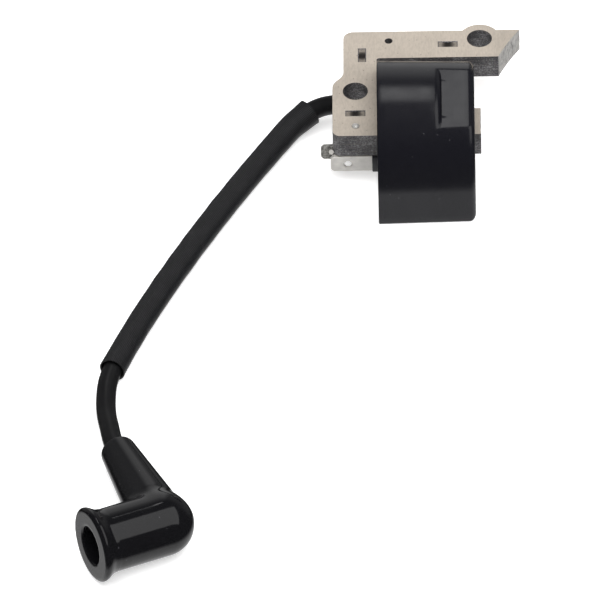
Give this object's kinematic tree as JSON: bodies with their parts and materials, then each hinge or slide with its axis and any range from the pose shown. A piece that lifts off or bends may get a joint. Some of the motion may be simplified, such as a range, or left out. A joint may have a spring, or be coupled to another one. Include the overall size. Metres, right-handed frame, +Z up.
{
  "type": "ignition coil",
  "caption": "Ignition coil of a small two-stroke engine: laminated C core, arched potted housing, stop tab, sleeved high-tension lead and elbow plug boot.",
  "frame": {"origin": "on the surface the housing's flat underside rests on, under the middle of the core and housing taken together", "axes": "+X towards the flywheel, along the leg that carries the coil; +Y towards the core's outer arm; +Z up from the housing's flat underside"},
  "size_m": [0.1126, 0.1877, 0.0309],
  "materials": {
    "core_steel": "satin lacquer over silicon steel",
    "tinned_steel": "bright tin plate",
    "zinc_steel": "dull zinc",
    "housing_plastic": "glossy black moulded polyester",
    "resin": "black potting resin",
    "nylon": "natural nylon",
    "copper": "enamelled copper wire",
    "board": "glass-epoxy laminate",
    "component": "moulded epoxy",
    "ceramic": "fired ceramic",
    "lead_jacket": "satin silicone jacket",
    "glass_weave": "varnished woven glass sleeve",
    "boot_rubber": "glossy moulded rubber",
    "spring_steel": "bright spring wire"
  },
  "bodies": {
    "module": {"core_lamination_01": "core_steel", "core_lamination_02": "core_steel", "core_lamination_03": "core_steel", "core_lamination_04": "core_steel", "core_lamination_05": "core_steel", "core_lamination_06": "core_steel", "core_lamination_07": "core_steel", "core_lamination_08": "core_steel", "core_lamination_09": "core_steel", "core_lamination_10": "core_steel", "core_lamination_11": "core_steel", "core_lamination_12": "core_steel", "core_lamination_13": "core_steel", "core_lamination_14": "core_steel", "earth_rivet": "tinned_steel", "earth_strap": "tinned_steel", "crimp_barrel": "zinc_steel", "earth_wire": "tinned_steel", "coil_housing": "housing_plastic", "potting_resin": "resin", "primary_bobbin": "nylon", "primary_winding": "copper", "secondary_bobbin": "nylon", "secondary_winding_1": "copper", "secondary_winding_2": "copper", "secondary_winding_3": "copper", "secondary_winding_4": "copper", "circuit_board": "board", "power_transistor": "component", "driver_transistor": "component", "timing_capacitor": "ceramic", "timing_resistor_1": "component", "timing_resistor_2": "component", "clamp_diode": "component", "earth_lead_wire": "tinned_steel", "stop_lead_wire": "tinned_steel", "stop_tab": "tinned_steel", "stop_tab_collar": "housing_plastic", "ht_contact_pin": "tinned_steel", "ht_wire": "copper", "ht_lead": "lead_jacket", "lead_sleeve": "glass_weave"},
    "boot": {"plug_boot": "boot_rubber", "plug_clip": "spring_steel"}
  },
  "joints": [
    {"name": "boot_swivel", "type": "hinge", "parent": "module", "child": "boot", "pos_m": [-0.0654, -0.1425, 0.00825], "axis": [-0.3553, 0.9277, -0.1145], "continuous": true}
  ]
}
